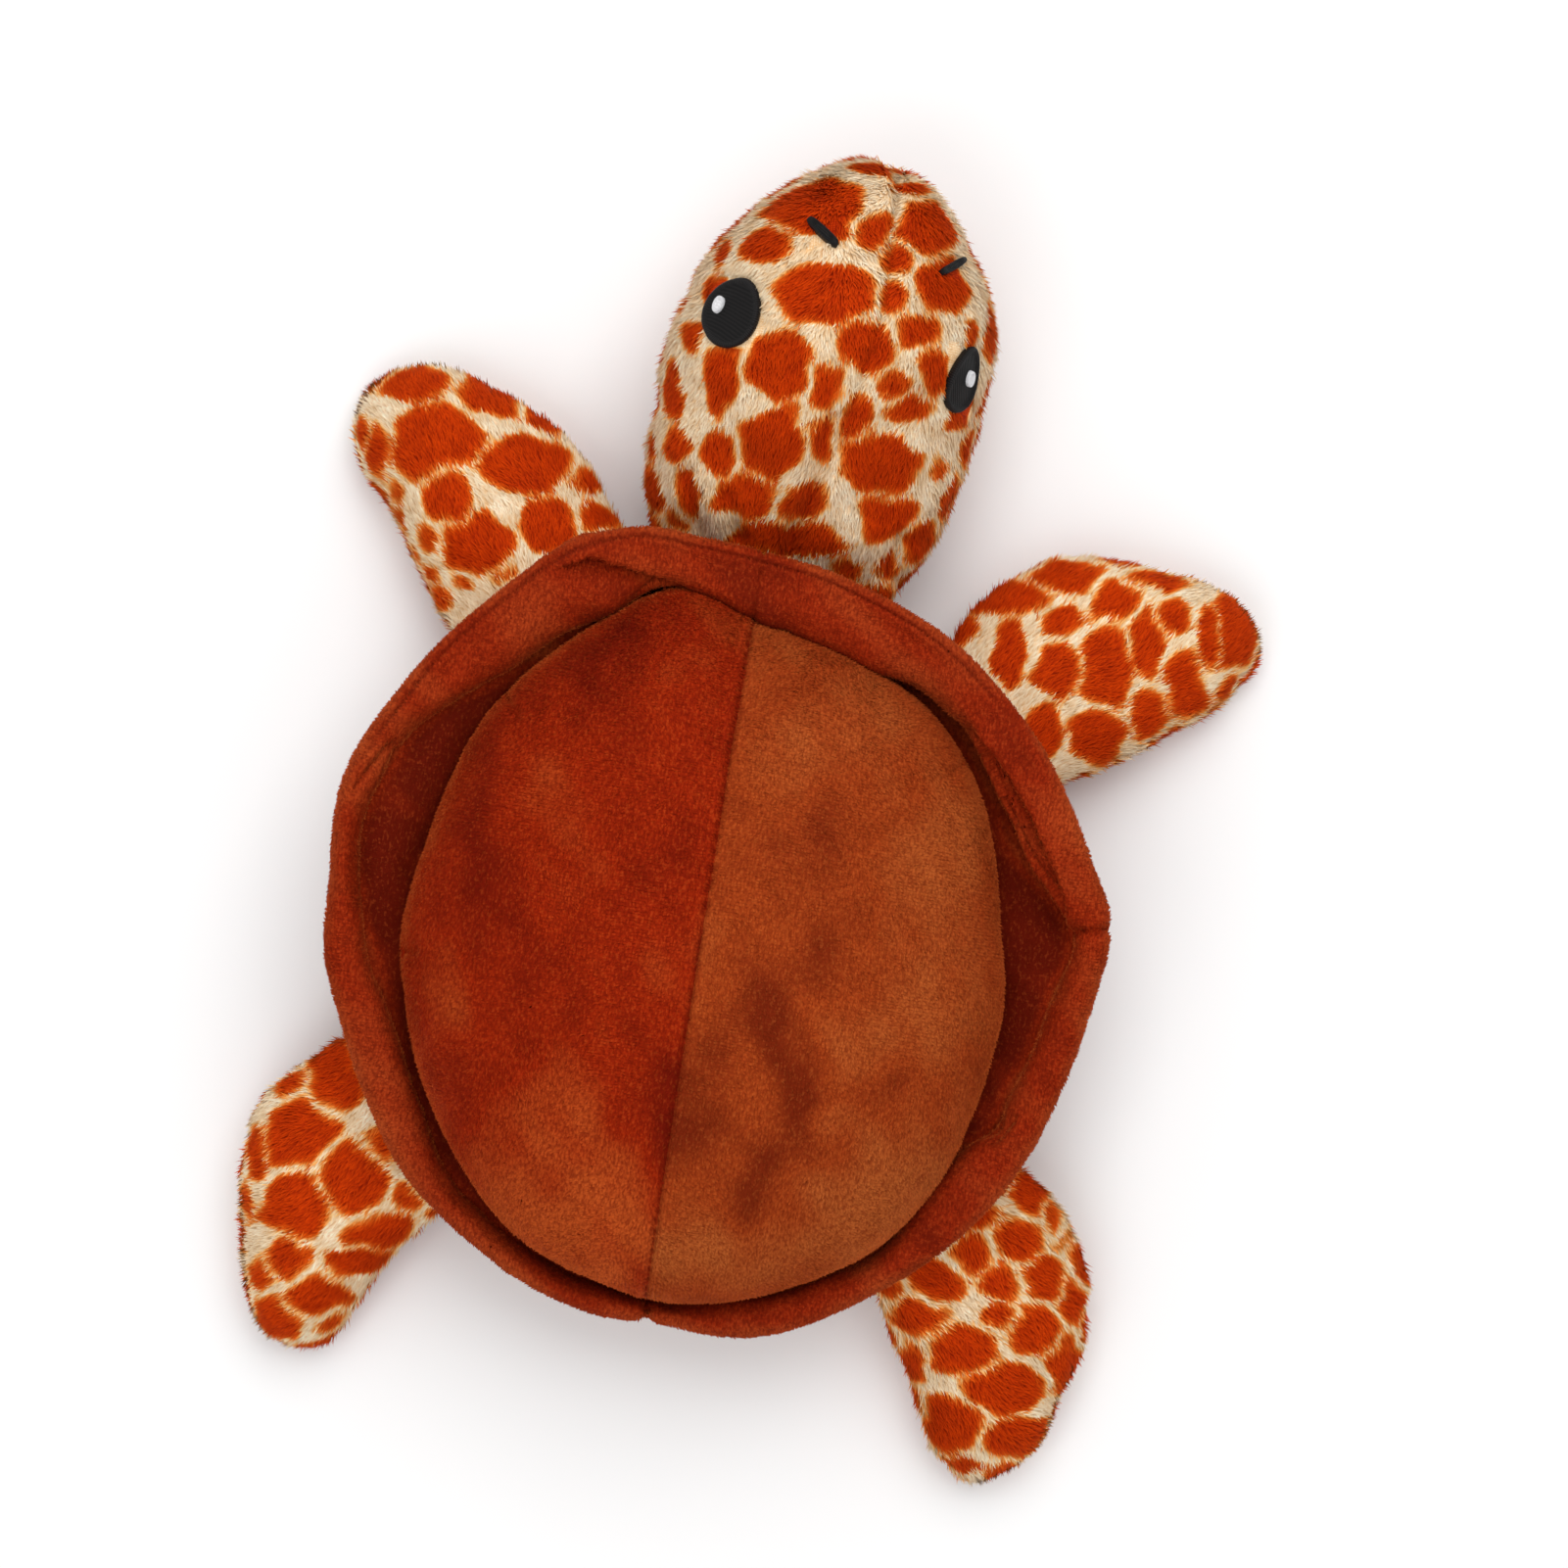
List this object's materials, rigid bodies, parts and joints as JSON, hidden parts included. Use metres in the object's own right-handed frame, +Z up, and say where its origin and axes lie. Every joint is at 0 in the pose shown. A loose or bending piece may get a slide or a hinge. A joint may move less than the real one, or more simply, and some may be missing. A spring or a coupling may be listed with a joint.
{
  "type": "plush sea turtle",
  "caption": "Soft plush sea turtle lying on its belly, with a domed shell, a padded turned-up rim, a stuffed head and long curled front flippers.",
  "frame": {"origin": "middle of the flat of the belly, on the surface that the toy lies on", "axes": "-Y towards the head, +X towards the turtle's left side, +Z up"},
  "size_m": [0.2898, 0.3956, 0.1047],
  "materials": {
    "rust_minky": "short-pile plush, brushed nap",
    "printed_fur": "5 mm pile fur, cream with printed orange-brown patches",
    "polyester_stuffing": "loose polyester fibre",
    "polyester_wadding": "sheet polyester wadding",
    "root_seam_cloth": "folded seam allowance",
    "black_thread": "satin-stitched thread",
    "white_thread": "satin-stitched thread"
  },
  "bodies": {
    "torso": {"shell_panel_left": "rust_minky", "shell_panel_right": "rust_minky", "rim_facing_left": "rust_minky", "rim_facing_right": "rust_minky", "rim_backing_left": "rust_minky", "rim_backing_right": "rust_minky", "rim_wadding_left": "polyester_wadding", "rim_wadding_right": "polyester_wadding", "belly_panel": "printed_fur", "body_stuffing": "polyester_stuffing"},
    "head_root": {"head_root_seam": "root_seam_cloth"},
    "head": {"head_cover_left": "printed_fur", "head_cover_right": "printed_fur", "head_stuffing": "polyester_stuffing", "eye_patch_left": "black_thread", "eye_patch_right": "black_thread", "eye_highlight_left": "white_thread", "eye_highlight_right": "white_thread", "nostril_left": "black_thread", "nostril_right": "black_thread"},
    "front_left_flipper_root": {"front_left_flipper_root_seam": "root_seam_cloth"},
    "front_left_flipper": {"front_left_flipper_top": "printed_fur", "front_left_flipper_underside": "printed_fur", "front_left_flipper_stuffing": "polyester_stuffing"},
    "front_right_flipper_root": {"front_right_flipper_root_seam": "root_seam_cloth"},
    "front_right_flipper": {"front_right_flipper_top": "printed_fur", "front_right_flipper_underside": "printed_fur", "front_right_flipper_stuffing": "polyester_stuffing"},
    "rear_left_flipper_root": {"rear_left_flipper_root_seam": "root_seam_cloth"},
    "rear_left_flipper": {"rear_left_flipper_top": "printed_fur", "rear_left_flipper_underside": "printed_fur", "rear_left_flipper_stuffing": "polyester_stuffing"},
    "rear_right_flipper_root": {"rear_right_flipper_root_seam": "root_seam_cloth"},
    "rear_right_flipper": {"rear_right_flipper_top": "printed_fur", "rear_right_flipper_underside": "printed_fur", "rear_right_flipper_stuffing": "polyester_stuffing"}
  },
  "joints": [
    {"name": "head_turn", "type": "hinge", "parent": "torso", "child": "head_root", "pos_m": [-0.00532, -0.099, 0.03625], "axis": [0, 0, 1], "range_deg": [-9, 9], "stiffness_Nm_per_rad": 0.3},
    {"name": "head_nod", "type": "hinge", "parent": "head_root", "child": "head", "pos_m": [-0.00532, -0.099, 0.03625], "axis": [-0.9965, 0.0837, 0], "range_deg": [-25, 10], "stiffness_Nm_per_rad": 0.35},
    {"name": "front_left_flipper_sweep", "type": "hinge", "parent": "torso", "child": "front_left_flipper_root", "pos_m": [0.05004, -0.08203, 0.03625], "axis": [0, 0, 1], "range_deg": [-8, 8], "stiffness_Nm_per_rad": 0.1},
    {"name": "front_left_flipper_flap", "type": "hinge", "parent": "front_left_flipper_root", "child": "front_left_flipper", "pos_m": [0.05004, -0.08203, 0.03625], "axis": [-0.7771, -0.6293, 0], "range_deg": [-35, 22], "stiffness_Nm_per_rad": 0.12},
    {"name": "front_right_flipper_sweep", "type": "hinge", "parent": "torso", "child": "front_right_flipper_root", "pos_m": [-0.06454, -0.0691, 0.03625], "axis": [0, 0, 1], "range_deg": [-8, 8], "stiffness_Nm_per_rad": 0.1},
    {"name": "front_right_flipper_flap", "type": "hinge", "parent": "front_right_flipper_root", "child": "front_right_flipper", "pos_m": [-0.06454, -0.0691, 0.03625], "axis": [-0.7133, 0.7009, 0], "range_deg": [-35, 22], "stiffness_Nm_per_rad": 0.12},
    {"name": "rear_left_flipper_sweep", "type": "hinge", "parent": "torso", "child": "rear_left_flipper_root", "pos_m": [0.07595, 0.06066, 0.03625], "axis": [0, 0, 1], "range_deg": [-8, 8], "stiffness_Nm_per_rad": 0.08},
    {"name": "rear_left_flipper_flap", "type": "hinge", "parent": "rear_left_flipper_root", "child": "rear_left_flipper", "pos_m": [0.07595, 0.06066, 0.03625], "axis": [0.6428, -0.766, 0], "range_deg": [-35, 22], "stiffness_Nm_per_rad": 0.1},
    {"name": "rear_right_flipper_sweep", "type": "hinge", "parent": "torso", "child": "rear_right_flipper_root", "pos_m": [-0.07865, 0.066, 0.03625], "axis": [0, 0, 1], "range_deg": [-8, 8], "stiffness_Nm_per_rad": 0.08},
    {"name": "rear_right_flipper_flap", "type": "hinge", "parent": "rear_right_flipper_root", "child": "rear_right_flipper", "pos_m": [-0.07865, 0.066, 0.03625], "axis": [0.6428, 0.766, 0], "range_deg": [-35, 22], "stiffness_Nm_per_rad": 0.1}
  ]
}
